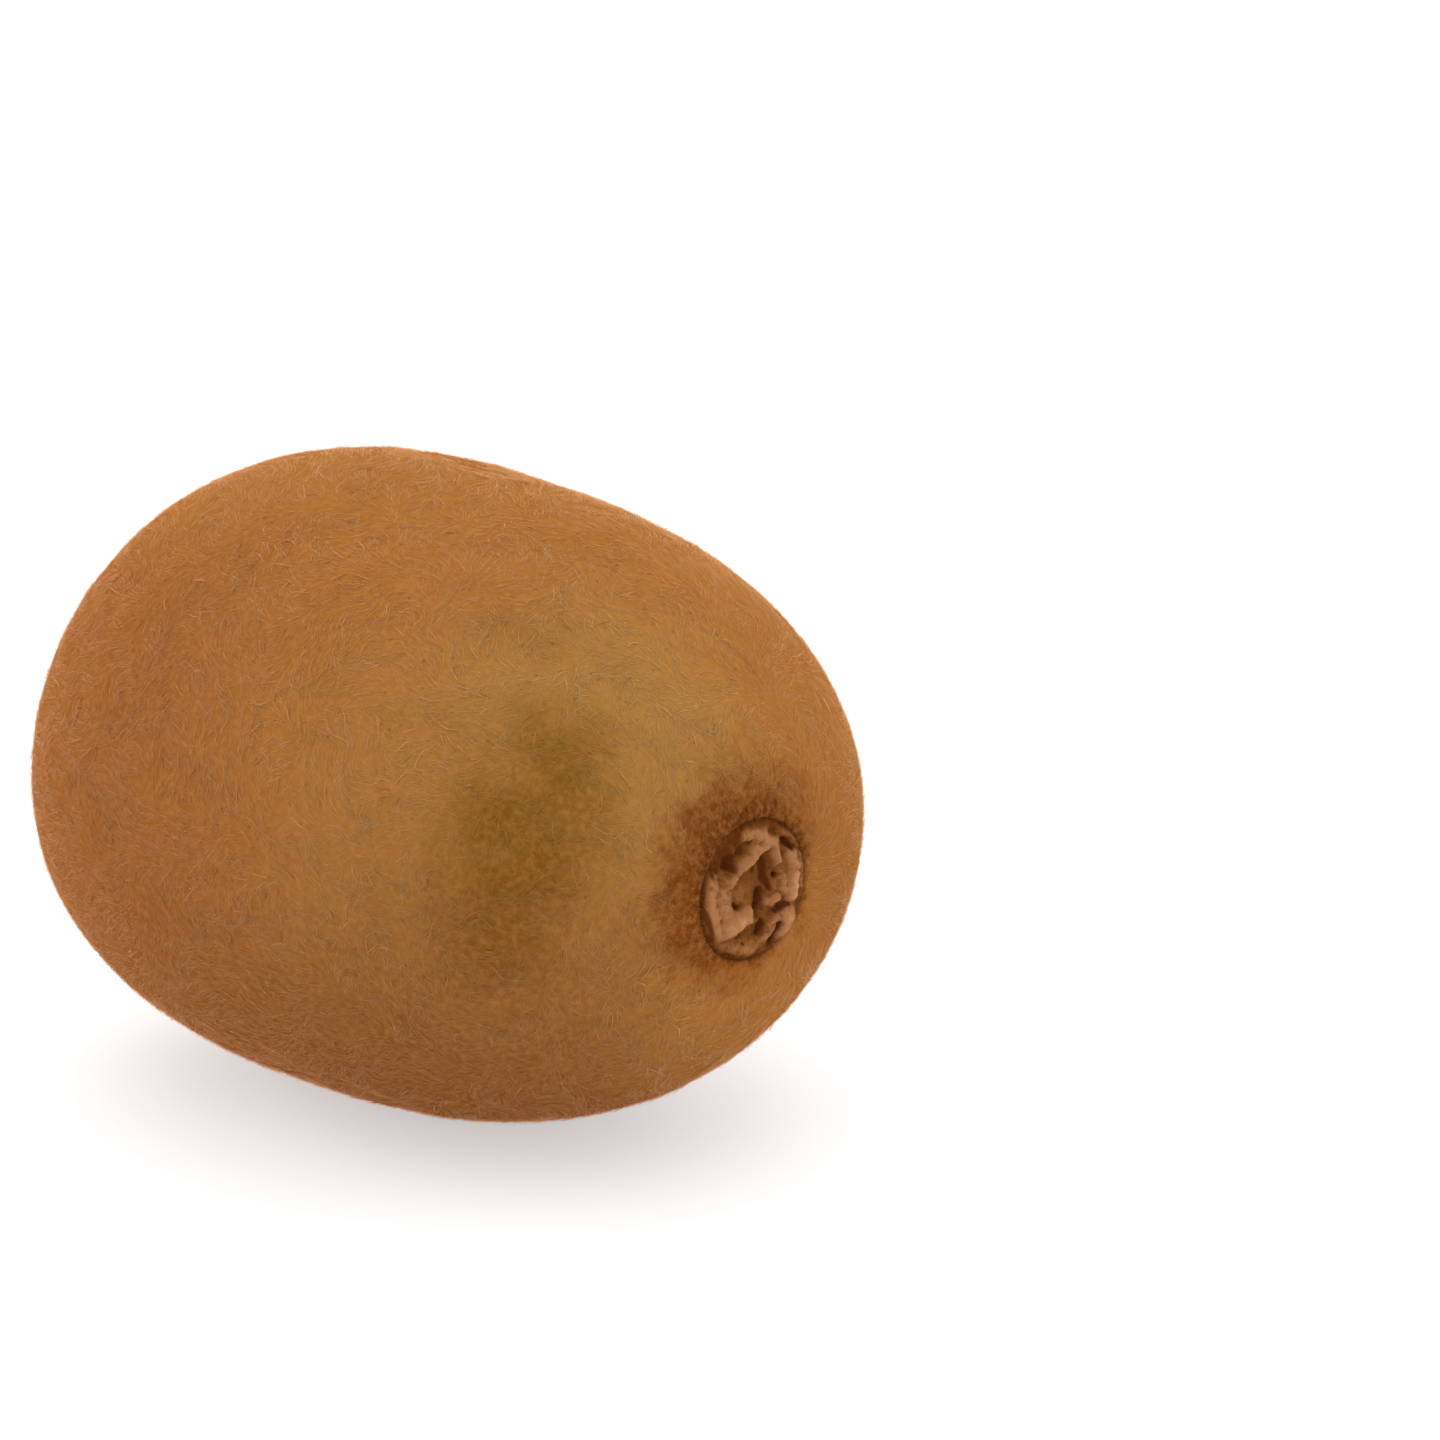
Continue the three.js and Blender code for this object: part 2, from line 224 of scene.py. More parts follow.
TUFT_LIFT_SPREAD = math.radians(1.5)
END_REACH = 6 * MM  # how far along the fruit the bare place at each end reaches
STEM_BARE_RADIUS = 5.45 * MM
BLOSSOM_BARE_RADIUS = 2.0 * MM
CALM_RADIUS = 10 * MM  # nearer the stem end than this, the hairs lie straighter
CALM_FADE = 4 * MM
CALM_SHARE = 0.7
LASH_RADIUS = 6.3 * MM  # nearer the stem end than this, some of the hairs lean in over the calyx
LASH_SHARE = 0.5

# The wisps.
WISPS = 3400
WISP_LENGTH = 1.7 * MM
WISP_LENGTH_RANGE = (0.6, 1.4)
WISP_WIDTH = 0.12 * MM
WISP_CURL_RANGE = (0.3, 0.6)
WISP_TURN_SPREAD = math.radians(45)
WISP_LIFT = math.radians(9)
WISP_LIFT_SPREAD = math.radians(3)
WISP_SWAY = 0.16 * MM
WISP_FLATNESS = 0.15  # how much of the sway stands up from the skin
PALE_WISP_SHARE = 0.6
PALE_WISP_TINT = 0.3
DARK_WISP_TINT = -0.2
WISP_STEM_RADIUS = 8 * MM  # none stands nearer the stem end, or the blossom end, than this
WISP_BLOSSOM_RADIUS = 5 * MM

# The bristles round the styles.
BRISTLES = 220
BRISTLE_SPREAD = 2.3 * MM
BRISTLE_FOOT = 0.9 * MM
BRISTLE_LENGTH = 2.7 * MM
BRISTLE_WIDTH = 0.13 * MM
BRISTLE_LEAN = math.radians(18)
BRISTLE_OUTER_LEAN = math.radians(52)  # over the lean that every bristle has
BRISTLE_LEAN_SPREAD = math.radians(9)
BRISTLE_SWAY = 0.1 * MM

# One seed for each kind of hair.
HAIR_SEED, WISP_SEED, STYLE_SEED, BRISTLE_SEED = 5, 6, 7, 8

# The camera.
CAMERA_AZIMUTH = math.radians(45.04)
CAMERA_ELEVATION = math.radians(16.62)
CAMERA_DISTANCE = 471.1 * MM
CAMERA_LENS = 153.8
ASIDE = 20.24 * MM  # how far the fruit's middle lies left of and below the middle of the view
BELOW = 5.28 * MM

# The lights: how far round the fruit and how far up each one stands, in degrees, how wide it is, in
# metres, and its power.
LIGHT_DISTANCE = 0.8
LIGHTS = (
    ("top_light", 40, 75, 1.0, 1.6),
    ("front_light", 80, 10, 0.8, 1.1),
    ("side_light", 135, 25, 0.7, 0.6),
    ("left_light", 292, 8, 0.6, 3.6),
    ("back_light", 225, 40, 1.0, 2.8),
)


# ---------------------------------------------------------------- materials


class Number:
    """A number that varies over a surface. Arithmetic on it adds Math nodes to its finish."""

    def __init__(self, finish, socket):
        self.finish = finish
        self.socket = socket

    def __add__(self, other):
        return self.finish.maths("ADD", self, other)

    def __radd__(self, other):
        return self.finish.maths("ADD", other, self)

    def __sub__(self, other):
        return self.finish.maths("SUBTRACT", self, other)

    def __rsub__(self, other):
        return self.finish.maths("SUBTRACT", other, self)

    def __mul__(self, other):
        return self.finish.maths("MULTIPLY", self, other)

    def __rmul__(self, other):
        return self.finish.maths("MULTIPLY", other, self)


class Finish:
    """One material: a Principled shader with its constants, and the nodes that drive it."""

    def __init__(self, name, constants):
        self.material = bpy.data.materials.new(name)
        self.material.use_nodes = True
        self.tree = self.material.node_tree
        self.shader = self.tree.nodes["Principled BSDF"]
        for socket, value in constants.items():
            self.shader.inputs[socket].default_value = value
        self.place = self.node("TexCoord").outputs["Object"]

    def node(self, kind, settings=None, **sockets):
        """Adds a node: its settings first, and then its sockets, by identifier, as values or links."""
        made = self.tree.nodes.new("ShaderNode" + kind)
        for name, value in (settings or {}).items():
            setattr(made, name, value)
        by_name = {socket.identifier: socket for socket in made.inputs}
        for name, value in sockets.items():
            self.feed(by_name[name], value)
        return made

    def feed(self, socket, value):
        if isinstance(value, Number):
            value = value.socket
        if isinstance(value, bpy.types.NodeSocket):
            self.tree.links.new(value, socket)
        else:
            socket.default_value = value

    def maths(self, operation, first, second):
        made = self.node("Math", {"operation": operation}, Value=first, Value_001=second)
        return Number(self, made.outputs[0])

    def vector_maths(self, operation, first, second):
        return self.node("VectorMath", {"operation": operation}, Vector=first, Vector_001=second)

    def distance(self, point):
        return Number(self, self.vector_maths("DISTANCE", self.place, point).outputs["Value"])

    def along(self, point, direction):
        """How far a place lies from a point along a direction."""
        from_point = self.vector_maths("SUBTRACT", self.place, point).outputs[0]
        dot = self.vector_maths("DOT_PRODUCT", from_point, direction)
        return Number(self, dot.outputs["Value"])

    def ramp(self, value, low, high):
        """0 below low and 1 above high, and a smooth step between. It falls if low is over high."""
        if low > high:
            return 1 - self.ramp(value, high, low)
        made = self.node(
            "MapRange",
            {"interpolation_type": "SMOOTHSTEP"},
            Value=value,
            **{"From Min": low, "From Max": high},
        )
        return Number(self, made.outputs[0])

    def noise(self, size, detail=2.0, roughness=0.5, shift=0.0):
        """Soft noise from 0 to 1, with its middle at 0.5. The shift tells one noise from another."""
        place = self.node("Mapping", Vector=self.place, Location=(shift,) * 3)
        made = self.node(
            "TexNoise",
            Vector=place.outputs[0],
            Scale=1 / size,
            Detail=detail,
            Roughness=roughness,
        )
        return Number(self, made.outputs["Fac"])

    def cells(self, size):
        """How far a place lies from the nearest of many scattered points."""
        made = self.node("TexVoronoi", {"feature": "F1"}, Vector=self.place, Scale=1 / size)
        return Number(self, made.outputs["Distance"])

    def attribute(self, name):
        return Number(self, self.node("Attribute", {"attribute_name": name}).outputs["Fac"])

    def mix(self, share, first, second):
        """The first colour where the share is 0, and the second where it is 1."""
        made = self.node(
            "Mix", {"data_type": "RGBA"}, Factor_Float=share, A_Color=first, B_Color=second
        )
        return made.outputs[2]

    def bump(self, height, depth):
        return self.node("Bump", Height=height, Distance=depth, Strength=1.0).outputs[0]

    def drive(self, socket, value):
        self.feed(self.shader.inputs[socket], value)


def srgb(red, green, blue):
    """A colour given as 0 to 255, in the linear numbers that a shader takes."""
    shares = (value / 255 for value in (red, green, blue))
    return (*((s / 12.92 if s <= 0.04045 else ((s + 0.055) / 1.055) ** 2.4) for s in shares), 1.0)


def skin_tones(finish, plain, golden, olive, ruddy_and_shade, red, rust):
    """The colour that the skin and the hairs share.

    It has olive patches in a golden flank, a reddish far end and a red underside, both darkened in part
    with painted shade, and a rusty halo with a ring of painted shade in and round the calyx pit.
    """
    patch_edge = finish.noise(5 * MM, detail=3) * (6 * MM)
    to_patch = finish.distance(OLIVE_PATCHES[0])
    for patch in OLIVE_PATCHES[1:]:
        to_patch = finish.maths("MINIMUM", to_patch, finish.distance(patch))
    olive_share = finish.ramp(to_patch + patch_edge, *OLIVE_EDGE)
    mottle = finish.ramp(finish.noise(9 * MM, detail=3, shift=3.7), 0.42, 0.68)
    olive_share = finish.maths("MAXIMUM", olive_share, mottle * MOTTLE_SHARE)

    to_golden = finish.distance(GOLDEN_PATCH)
    golden_share = finish.ramp(to_patch + patch_edge * 1.5, *GOLDEN_EDGE) * GOLDEN_SHARE
    golden_patch = finish.ramp(to_golden + patch_edge * 1.5, *GOLDEN_PATCH_EDGE)
    golden_share = golden_share + golden_patch * GOLDEN_PATCH_SHARE

    # Redder and darker towards the bottom: partly the skin's own red, partly painted shade. The red
    # patches are its own colour.
    red_edge = finish.noise(8 * MM, shift=9.1) * (10 * MM)
    height = finish.along((0, 0, 0), (0, 0, 1))
    to_cheek = finish.distance(LIGHT_CHEEK)
    red_and_shade_share = finish.ramp(height + red_edge, *RED_SHADE_HEIGHTS)
    red_and_shade_share = red_and_shade_share * finish.ramp(to_cheek + red_edge * 0.3, *LIGHT_CHEEK_EDGE)
    red_patches = finish.ramp(finish.noise(11 * MM, detail=3, shift=6.3), 0.5, 0.7)
    red_and_shade_share = finish.maths("MAXIMUM", red_and_shade_share, red_patches * RED_PATCH_SHARE)

    # A reddish, darker far end: partly the skin's own tone, partly painted shade.
    along_fruit = finish.along(FRUIT_MIDDLE, LENGTHWISE)
    ruddy_and_shade_share = finish.ramp(along_fruit + red_edge, *RUDDY_SHADE_PLACES)
    ruddy_and_shade_share = ruddy_and_shade_share * finish.ramp(height, *RUDDY_SHADE_HEIGHTS)

    ragged = finish.noise(2.4 * MM, detail=4, roughness=0.65) * (7 * MM)
    halo = finish.ramp(finish.distance(HALO_MIDDLE) + ragged, *HALO_EDGE) * HALO_SHARE
    upper_halo = finish.ramp(finish.distance(UPPER_HALO_MIDDLE) + ragged, *UPPER_HALO_EDGE)
    halo = finish.maths("MAXIMUM", halo, upper_halo * UPPER_HALO_SHARE)
    # A near-black ring in and round the calyx pit: painted shade.
    brink = finish.ramp(finish.distance(BRINK_SHADE_MIDDLE) + ragged * 0.3, *BRINK_SHADE_EDGE)

    colour = finish.mix(golden_share, plain, golden)
    colour = finish.mix(olive_share, colour, olive)
    colour = finish.mix(red_and_shade_share * RED_AND_SHADE_SHARE, colour, red)
    colour = finish.mix(ruddy_and_shade_share * RUDDY_AND_SHADE_SHARE, colour, ruddy_and_shade)
    colour = finish.mix(halo, colour, rust)
    return finish.mix(brink * BRINK_SHADE_SHARE, colour, srgb(60, 25, 3))


def skin_finish():
    finish = Finish("kiwi_skin", {"Specular IOR Level": 0.0})
    colour = skin_tones(
        finish,
        plain=srgb(150, 95, 42),
        golden=srgb(152, 108, 52),
        olive=srgb(112, 72, 12),
        ruddy_and_shade=srgb(134, 79, 36),
        red=srgb(112, 62, 27),
        rust=srgb(102, 46, 4),
    )
    specks = finish.ramp(finish.cells(1.1 * MM), 0.16, 0.08)
    grain = finish.noise(0.5 * MM, detail=4, roughness=0.65)
    colour = finish.mix(specks * 0.35, colour, srgb(70, 38, 14))
    colour = finish.mix(finish.ramp(grain, 0.35, 0.75) * 0.4, colour, srgb(176, 120, 66))
    finish.drive("Base Color", colour)
    finish.drive("Roughness", 0.65 + grain * 0.25)
    finish.drive("Normal", finish.bump(grain + finish.noise(0.16 * MM, detail=2) * 0.5, 0.06 * MM))
    return finish.material


def hair_finish():
    """Hairs are paler towards their tips and where their tint is high, and dark where it is below 0."""
    finish = Finish(
        "kiwi_hair",
        {
            "Roughness": 0.8,
            "Specular IOR Level": 0.0,
            "Sheen Weight": 1.0,
            "Sheen Roughness": 0.4,
            "Sheen Tint": (1.0, 0.58, 0.32, 1.0),
            "Subsurface Weight": 1.0,
            "Subsurface Radius": (1.0, 0.4, 0.2),
            "Subsurface Scale": 0.08 * MM,
        },
    )
    tint = finish.attribute("tint")
    along = finish.attribute("along")
    dark = skin_tones(
        finish,
        plain=srgb(150, 96, 43),
        golden=srgb(152, 109, 53),
        olive=srgb(114, 75, 13),
        ruddy_and_shade=srgb(136, 81, 37),
        red=srgb(114, 64, 29),
        rust=srgb(102, 47, 4),
    )
    light = skin_tones(
        finish,
        plain=srgb(226, 160, 118),
        golden=srgb(221, 169, 118),
        olive=srgb(172, 124, 58),
        ruddy_and_shade=srgb(220, 148, 110),
        red=srgb(200, 130, 92),
        rust=srgb(134, 68, 12),
    )
    colour = finish.mix(tint * 0.65 + along * 0.35, dark, light)
    finish.drive("Base Color", finish.mix(0 - tint, colour, srgb(84, 46, 16)))
    return finish.material


def calyx_finish():
    finish = Finish("dried_calyx", {"Specular IOR Level": 0.05})
    pale = finish.attribute("pale")
    hollow_shade = finish.attribute("hollow_shade")
    fibres = finish.noise(0.25 * MM, detail=4, roughness=0.7)
    blotch = finish.noise(1.0 * MM, detail=3, shift=2.0)
    shade = pale + (blotch - 0.5) * 0.4 + (fibres - 0.5) * 0.35
    colour = finish.mix(finish.ramp(shade, 0.05, 0.45), srgb(84, 40, 6), srgb(121, 73, 31))
    colour = finish.mix(finish.ramp(shade, 0.35, 0.7), colour, srgb(154, 104, 66))
    colour = finish.mix(finish.ramp(shade, 0.75, 1.1), colour, srgb(178, 127, 88))
    # Darkest in the hollows between the folds: painted shade.
    colour = finish.mix(finish.ramp(hollow_shade, 0.1, 0.9) * 0.9, colour, srgb(72, 28, 2))
    # The calyx darkens towards its rim, where it falls into the pit: painted shade.
    from_middle = finish.distance(STEM_END)
    rim = finish.ramp(from_middle + blotch * (0.6 * MM), 4.9 * MM, 5.6 * MM)
    colour = finish.mix(rim * 0.85, colour, srgb(90, 44, 8))
    finish.drive("Base Color", colour)
    finish.drive("Roughness", 0.7 + fibres * 0.25)
    finish.drive("Normal", finish.bump(fibres + blotch * 0.6, 0.06 * MM))
    return finish.material


def bristle_finish():
    finish = Finish("dried_bristles", {"Roughness": 0.8, "Specular IOR Level": 0.2})
    tint = finish.attribute("tint")
    along = finish.attribute("along")
    colour = finish.mix(tint, srgb(96, 60, 33), srgb(136, 92, 54))
    finish.drive("Base Color", finish.mix(along * along * 0.8, colour, srgb(178, 128, 82)))
    return finish.material


def style_finish():
    finish = Finish("dried_styles", {"Roughness": 0.8, "Specular IOR Level": 0.2})
    tint = finish.attribute("tint")
    along = finish.attribute("along")
    streaks = finish.noise(0.3 * MM, detail=3, roughness=0.6)
    colour = finish.mix(tint, srgb(72, 44, 25), srgb(116, 76, 45))
    colour = finish.mix(finish.ramp(along, 0.2, 1.0) * 0.8, colour, srgb(164, 118, 76))
    colour = finish.mix(finish.ramp(streaks, 0.4, 0.75) * 0.5, colour, srgb(44, 26, 15))
    finish.drive("Base Color", colour)
    finish.drive("Normal", finish.bump(streaks, 0.05 * MM))
    return finish.material


def floor_finish():
    finish = Finish(
        "pale_floor",
        {
            "Roughness": 0.9,
            "Specular IOR Level": 0.1,
            "Emission Color": (1.0, 1.0, 1.0, 1.0),
            "Emission Strength": 0.5,
        },
    )
    cloud = finish.noise(120 * MM, detail=2)
    finish.drive("Base Color", finish.mix(cloud, (0.5, 0.5, 0.5, 1), (0.52, 0.52, 0.52, 1)))
    return finish.material


# ---------------------------------------------------------------- meshes


def add_piece(name, mesh, material, node=None, smooth=True):
    """Links a finished mesh as a piece of the object that rides on its one body."""
    mesh.materials.clear()
    mesh.materials.append(material)
    piece = bpy.data.objects.new(name, mesh)
    bpy.context.scene.collection.objects.link(piece)
    mesh.polygons.foreach_set("use_smooth", np.full(len(mesh.polygons), smooth))
    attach(piece, "root")
    if node:
        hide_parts(node)


def merged_copy(node):
    """A copy of a CAD node's mesh with its loose triangles merged."""
    shape = bmesh.new()
    shape.from_mesh(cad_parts[node].data)
    bmesh.ops.remove_doubles(shape, verts=shape.verts, dist=0.002 * MM)
    return shape


def finished(name, shape, modify):
    """The mesh that a bmesh becomes under the modifiers that modify(object) adds."""
    rough = bpy.data.meshes.new(name)
    shape.to_mesh(rough)
    shape.free()
    holder = bpy.data.objects.new(name, rough)
    bpy.context.scene.collection.objects.link(holder)
    modify(holder)
    evaluated = holder.evaluated_get(bpy.context.evaluated_depsgraph_get())
    mesh = bpy.data.meshes.new_from_object(evaluated)
    mesh.name = name
    bpy.data.objects.remove(holder)
    bpy.data.meshes.remove(rough)
    return mesh


def put_in_order(shape):
    """Sorts a bmesh by its vertices, because an extrusion adds edges and faces in no fixed order."""
    shape.verts.index_update()
    count = len(shape.verts)

    def place(item):
        corners = [vertex.index for vertex in item.verts]
        return min(corners) * count + max(corners)

    shape.edges.sort(key=place)
    shape.faces.sort(key=place)


def vectors(items, name):
    """One vector of each item, such as where a vertex is, as the rows of an array."""
    found = np.empty(len(items) * 3, np.float32)
    items.foreach_get(name, found)
    return found.reshape(-1, 3).astype(float)


def paint(mesh, name, values):
    """Keeps a number for each vertex, for the mesh's material to read."""
    layer = mesh.attributes.new(name, "FLOAT", "POINT")
    layer.data.foreach_set("value", values.astype(np.float32))


def soft_waves(points, size, seed, count=14):
    """Smooth noise of about -1 to 1 at each point, with lumps of a size."""
    random = np.random.default_rng(seed)
    directions = random.normal(size=(count, 3))
    directions /= np.linalg.norm(directions, axis=1, keepdims=True)
    pace = 2 * math.pi / (2 * size) * random.uniform(0.6, 1.6, count)
    phase = random.uniform(0, 2 * math.pi, count)
    return np.sin(points @ (directions * pace[:, None]).T + phase).sum(1) * math.sqrt(2 / count) / 1.5


def skin_mesh():
    """The fruit's own shape, smoothed, with a fine relief and a few broad swells."""
    shape = merged_copy("fruit")
    bmesh.ops.join_triangles(
        shape, faces=shape.faces, angle_face_threshold=0.6, angle_shape_threshold=3.1
    )

    def modify(holder):
        smoother = holder.modifiers.new("smooth", "SUBSURF")
        smoother.levels = SKIN_LEVELS
        smoother.render_levels = SKIN_LEVELS

    mesh = finished("fruit_skin", shape, modify)
    places = vectors(mesh.vertices, "co")
    normals = vectors(mesh.vertices, "normal")
    lift = RELIEF * (soft_waves(places, 2.2 * MM, 11) * 0.4 + soft_waves(places, 5 * MM, 12) * 0.4)
    for middle, reach, swell in SWELLS:
        away = np.clip(np.linalg.norm(places - np.array(middle), axis=1) / reach, 0, 1)
        lift += swell * (1 - away**2) ** 2
    lift *= np.clip((places[:, 2] - RELIEF_START) / RELIEF_RISE, 0, 1)
    places += normals * lift[:, None]
    places[:, 2] = np.maximum(places[:, 2], 0)
    mesh.vertices.foreach_set("co", places.ravel())
    mesh.update()
    return mesh


def hair_template(sections, sides=3, tip=0.0, flatness=HAIR_FLATNESS):
    """A slim closed spike of length 1 along Z: its vertices and its triangles."""
    shape = bmesh.new()
    bmesh.ops.create_cone(shape, cap_ends=True, segments=sides, radius1=1, radius2=tip, depth=1)
    bmesh.ops.translate(shape, verts=shape.verts, vec=(0, 0, 0.5))
    bmesh.ops.scale(shape, verts=shape.verts, vec=(1, flatness, 1))
    for cut in range(1, sections):
        everything = shape.verts[:] + shape.edges[:] + shape.faces[:]
        bmesh.ops.bisect_plane(
            shape, geom=everything, plane_co=(0, 0, cut / sections), plane_no=(0, 0, 1)
        )
    bmesh.ops.triangulate(shape, faces=shape.faces)
    bmesh.ops.remove_doubles(shape, verts=shape.verts, dist=1e-5)
    shape.verts.index_update()
    corners = np.array([vertex.co for vertex in shape.verts])
    triangles = np.array([[vertex.index for vertex in face.verts] for face in shape.faces])
    shape.free()
    return corners, triangles


def strewn_roots(mesh, count, random):
    """Random places on a mesh, even over its area, with its normal at each."""
    mesh.calc_loop_triangles()
    corners = np.empty(len(mesh.loop_triangles) * 3, np.int32)
    mesh.loop_triangles.foreach_get("vertices", corners)
    corners = corners.reshape(-1, 3)
    places = vectors(mesh.vertices, "co")[corners]
    normals = vectors(mesh.vertices, "normal")[corners]
    area = np.linalg.norm(
        np.cross(places[:, 1] - places[:, 0], places[:, 2] - places[:, 0]), axis=1
    )
    chosen = random.choice(len(corners), count, p=area / area.sum())
    share = random.uniform(size=(count, 2))
    share[share.sum(1) > 1] = 1 - share[share.sum(1) > 1]
    weights = np.stack([1 - share.sum(1), share[:, 0], share[:, 1]], 1)[:, :, None]
    normal = (normals[chosen] * weights).sum(1)
    normal /= np.linalg.norm(normal, axis=1, keepdims=True)
    return (places[chosen] * weights).sum(1), normal


def unit(rows):
    return rows / np.maximum(np.linalg.norm(rows, axis=1, keepdims=True), 1e-12)


def grown_hairs(name, roots, normals, directions, lengths, widths, curls, tints, template, waves=None):
    """One mesh of hairs, each the template along its direction, curled over and sometimes wavy.

    Each hair has its own cell on the OFBake map.
    """
    corners, triangles = template
    count, each = len(roots), len(corners)
    sideways = unit(np.cross(normals, directions))
    upwards = np.cross(directions, sideways)
    reach = corners[None, :, 2, None] * lengths[:, None, None]
    bow = corners[None, :, 2, None] ** 2 * (lengths * curls)[:, None, None]
    across = corners[None, :, :2] * widths[:, None, None] / 2
    if waves is not None:
        pace, phase, amount = waves
        sway = np.sin(corners[None, :, 2] * pace[:, None] + phase[:, None]) - np.sin(phase)[:, None]
        across = across + sway[:, :, None] * amount[:, None, :]
    places = (
        roots[:, None]
        + reach * directions[:, None]
        - bow * normals[:, None]
        + across[:, :, :1] * sideways[:, None]
        + across[:, :, 1:] * upwards[:, None]
    ).reshape(-1, 3)
    places[:, 2] = np.maximum(places[:, 2], 0.01 * MM)
    faces = (triangles[None] + np.arange(count)[:, None, None] * each).reshape(-1, 3)
    mesh = bpy.data.meshes.new(name)
    mesh.from_pydata(places, [], faces)
    paint(mesh, "tint", np.repeat(tints, each))
    paint(mesh, "along", np.tile(corners[:, 2], count))
    cells = math.ceil(math.sqrt(count))
    corner_map = np.stack(
        [0.5 + 0.4 * corners[:, 0], 0.1 + 0.8 * corners[:, 2] - 0.05 * corners[:, 1]], 1
    )
    cell = np.stack([np.arange(count) % cells, np.arange(count) // cells], 1)
    place_on_map = ((cell[:, None] + corner_map[None]) / cells).reshape(-1, 2)
    layer = mesh.uv_layers.new(name="OFBake")
    layer.uv.foreach_set("vector", place_on_map[faces.ravel()].astype(np.float32).ravel())
    return mesh


def lie_of_the_hairs(roots, normals):
    """The way the hairs lie at each root: from the stem end to the blossom end, in swirls and tufts."""
    lengthwise = np.array(LENGTHWISE)
    flow = unit(normals * (normals @ lengthwise)[:, None] - lengthwise)
    across = np.cross(normals, flow)
    swirls = math.radians(75) * soft_waves(roots, 9 * MM, 21)
    tufts = math.radians(45) * soft_waves(roots, 3 * MM, 22)
    return flow, across, swirls + tufts


def leaning(flow, across, turn, normals, lift):
    """The directions of hairs that turn away from the flow and lift off the skin."""
    along_skin = flow * np.cos(turn)[:, None] + across * np.sin(turn)[:, None]
    return along_skin * np.cos(lift)[:, None] + normals * np.sin(lift)[:, None]


def hairs(skin, material):
    """The fine hairs and the longer ones, in tufts, all over the skin but its two ends and its foot."""
    random = np.random.default_rng(HAIR_SEED)
    total = FINE_HAIRS + LONG_HAIRS
    roots, normals = strewn_roots(skin, int(total * SPARE_ROOTS), random)
    stem, lengthwise = np.array(STEM_END), np.array(LENGTHWISE)
    blossom = np.array(BLOSSOM_END)

    def from_axis(point):
        offset = roots - point
        return np.linalg.norm(offset - (offset @ lengthwise)[:, None] * lengthwise, axis=1)

    at_stem = (roots - stem) @ lengthwise > -END_REACH
    at_blossom = (roots - blossom) @ lengthwise < END_REACH
    bare = at_stem & (from_axis(stem) < STEM_BARE_RADIUS)
    bare |= at_blossom & (from_axis(blossom) < BLOSSOM_BARE_RADIUS)
    bare |= roots[:, 2] < CONTACT_HEIGHT
    kept = np.flatnonzero(~bare)[:total]
    roots, normals = roots[kept], normals[kept]
    from_stem = np.linalg.norm(roots - stem, axis=1)

    tufts = KDTree(TUFT_COUNT)
    for index in range(TUFT_COUNT):
        tufts.insert(roots[index], index)
    tufts.balance()
    tuft = np.array([tufts.find(root)[1] for root in roots])
    tuft_turn = random.normal(0, TUFT_TURN_SPREAD, TUFT_COUNT)[tuft]
    tuft_tint = random.normal(0, TUFT_TINT_SPREAD, TUFT_COUNT)[tuft]
    tuft_lift = random.normal(0, TUFT_LIFT_SPREAD, TUFT_COUNT)[tuft]

    count = len(roots)
    long = np.arange(count) >= count - LONG_HAIRS
    flow, across, turn = lie_of_the_hairs(roots, normals)
    turn = turn + tuft_turn + random.normal(0, HAIR_TURN_SPREAD, count)
    near_stem = np.clip((CALM_RADIUS - from_stem) / CALM_FADE, 0, 1)
    turn *= 1 - CALM_SHARE * near_stem
    leans_in = (from_stem < LASH_RADIUS) & (random.uniform(size=count) < LASH_SHARE)
    turn = np.where(leans_in, turn + math.pi, turn)
    lift = HAIR_LIFT + tuft_lift + np.abs(random.normal(0, HAIR_LIFT_SPREAD, count))
    lift = np.where(long, lift + LONG_HAIR_LIFT, lift)
    directions = leaning(flow, across, turn, normals, lift)
    lengths = HAIR_LENGTH * random.uniform(*HAIR_LENGTH_RANGE, count)
    long_lengths = LONG_HAIR_LENGTH * random.uniform(*LONG_HAIR_LENGTH_RANGE, count)
    lengths = np.where(long, long_lengths, lengths)
    widths = HAIR_WIDTH * random.uniform(*HAIR_WIDTH_RANGE, count)
    curls = np.where(long, np.sin(lift) * random.uniform(*LONG_HAIR_CURL_RANGE, count), 0.0)
    tints = random.normal(HAIR_TINT, HAIR_TINT_SPREAD, count) + tuft_tint + LONG_HAIR_TINT * long
    tints = np.clip(tints, 0, 1)
    roots = roots - normals * ROOT_DEPTH

    fine = np.array_split(np.flatnonzero(~long), FINE_PIECES)
    batches = [(f"fine_hairs_{i + 1}", chosen, 1) for i, chosen in enumerate(fine)]
    batches.append(("long_hairs", np.flatnonzero(long), 2))
    for name, chosen, sections in batches:
        mesh = grown_hairs(
            name,
            roots[chosen],
            normals[chosen],
            directions[chosen],
            lengths[chosen],
            widths[chosen],
            curls[chosen],
            tints[chosen],
            hair_template(sections),
        )
        add_piece(name, mesh, material, smooth=False)


